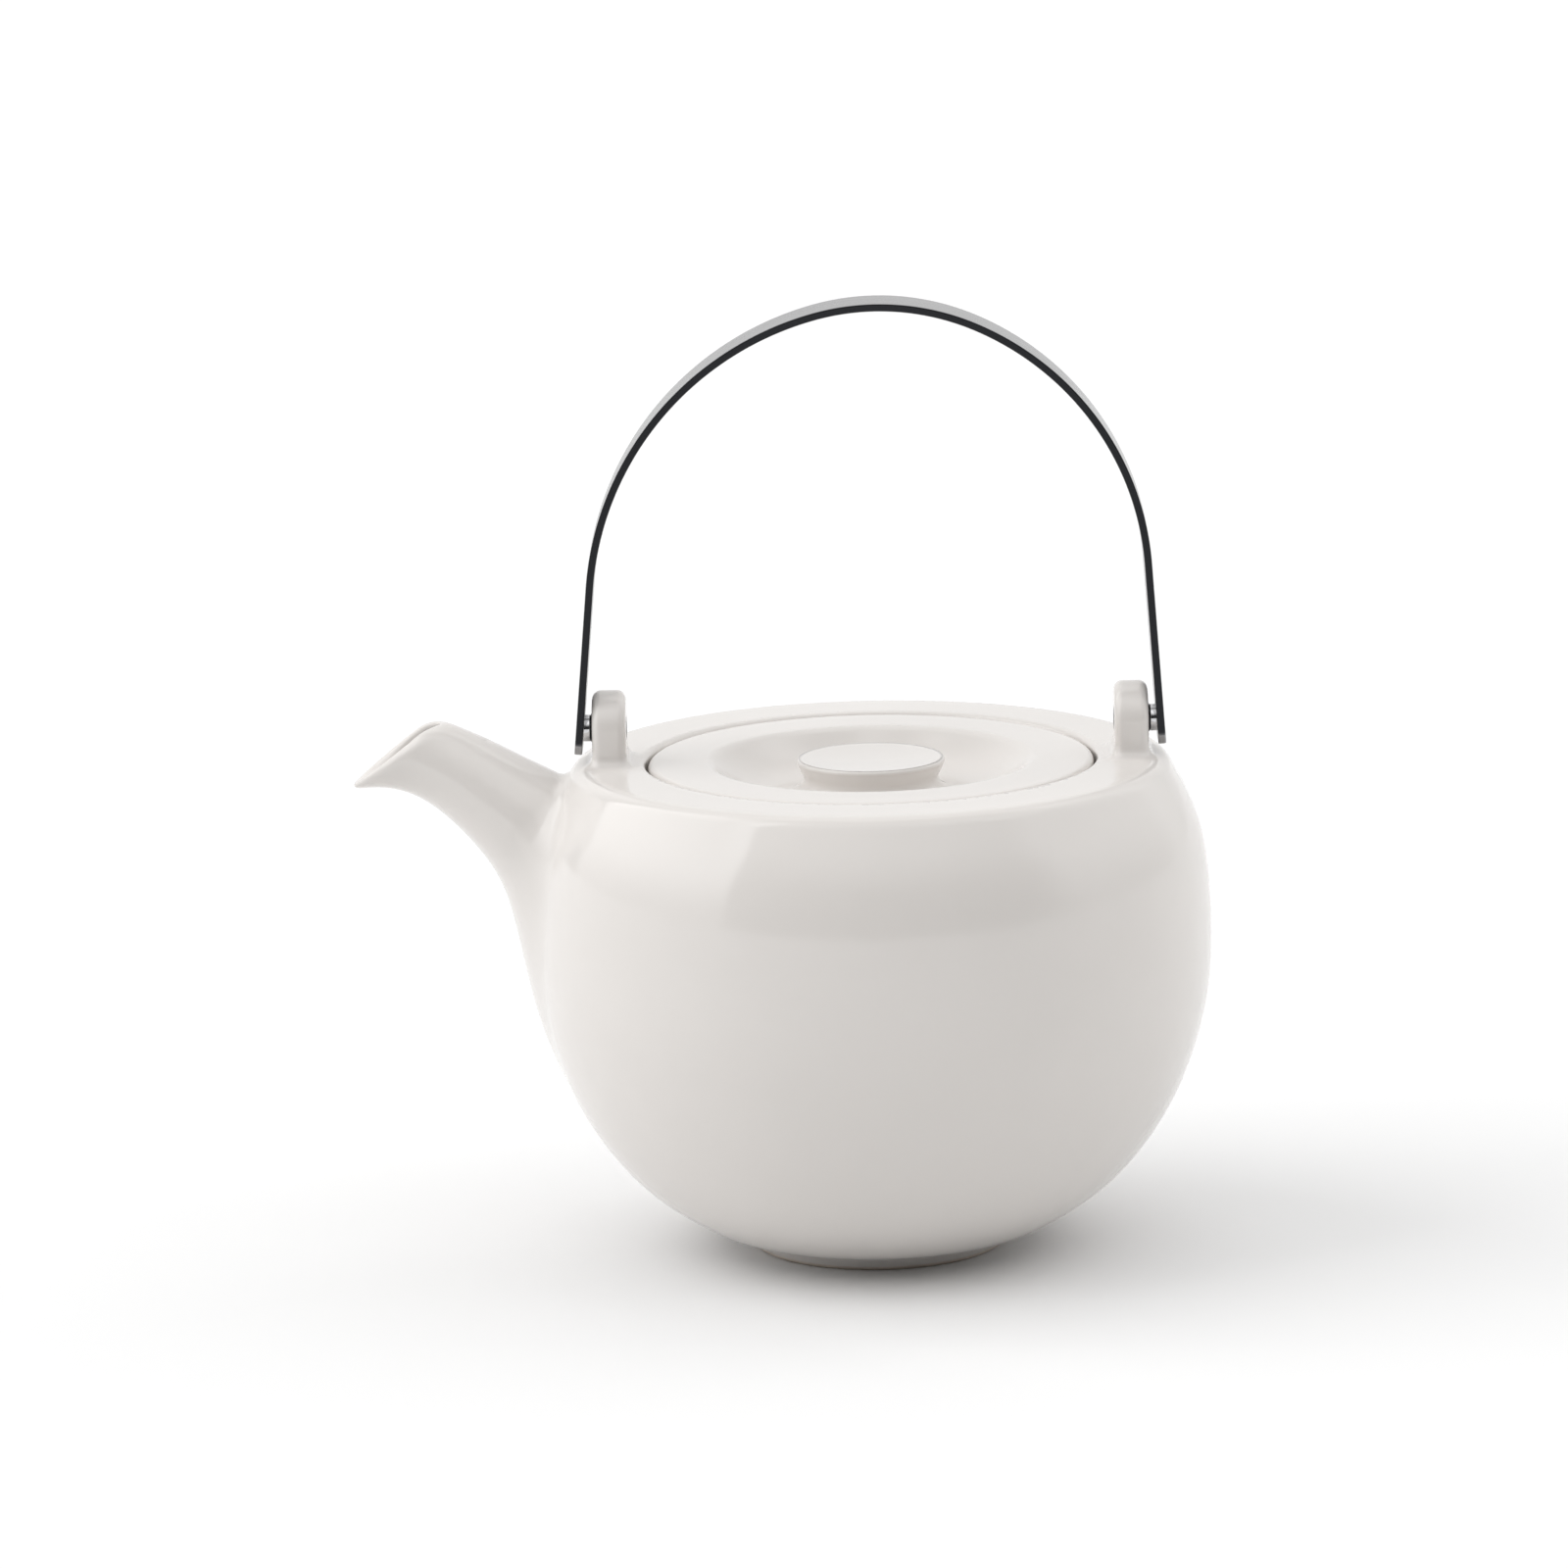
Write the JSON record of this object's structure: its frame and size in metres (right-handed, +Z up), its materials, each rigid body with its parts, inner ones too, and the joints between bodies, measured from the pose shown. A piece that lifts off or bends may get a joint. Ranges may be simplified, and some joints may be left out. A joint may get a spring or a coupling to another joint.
{
  "type": "teapot with infuser",
  "caption": "Round porcelain teapot with a short spout, a sunken lid with a finger dish, a swinging flat steel bail handle and a lift-out perforated steel infuser basket.",
  "frame": {"origin": "middle of the foot's flat ring, on the surface that the pot stands on", "axes": "+Z up, -X towards the spout, X along the bail's pivot axis, -Y the front"},
  "size_m": [0.2009, 0.1586, 0.2248],
  "materials": {
    "glazed_porcelain": "clear gloss glaze on ivory white porcelain, unglazed seat inside the mouth",
    "glazed_porcelain_lid": "clear gloss glaze on ivory white porcelain",
    "strap_steel": "satin brushed along the strap, with polished edges",
    "pivot_steel": "polished stainless steel",
    "bush_plastic": "matt black",
    "infuser_steel": "satin stainless steel sheet"
  },
  "bodies": {
    "pot": {"pot_body": "glazed_porcelain", "lug_bush_left": "bush_plastic", "lug_bush_right": "bush_plastic"},
    "bail": {"bail_strap": "strap_steel", "pivot_pin_left": "pivot_steel", "pivot_pin_right": "pivot_steel", "pivot_collar_left": "pivot_steel", "pivot_collar_right": "pivot_steel"},
    "infuser": {"infuser_rim": "infuser_steel", "infuser_wall": "infuser_steel", "infuser_base": "infuser_steel", "infuser_tab_front": "infuser_steel", "infuser_tab_back": "infuser_steel"},
    "lid": {"lid": "glazed_porcelain_lid"}
  },
  "joints": [
    {"name": "bail_swing", "type": "hinge", "parent": "pot", "child": "bail", "pos_m": [0, 0, 0.1248], "axis": [1, 0, 0], "range_deg": [-90, 90]},
    {"name": "infuser_lift", "type": "slide", "parent": "pot", "child": "infuser", "axis": [0, 0, 1], "range_m": [0, 0.07]},
    {"name": "lid_lift", "type": "slide", "parent": "infuser", "child": "lid", "axis": [0, 0, 1], "range_m": [0, 0.06]}
  ]
}
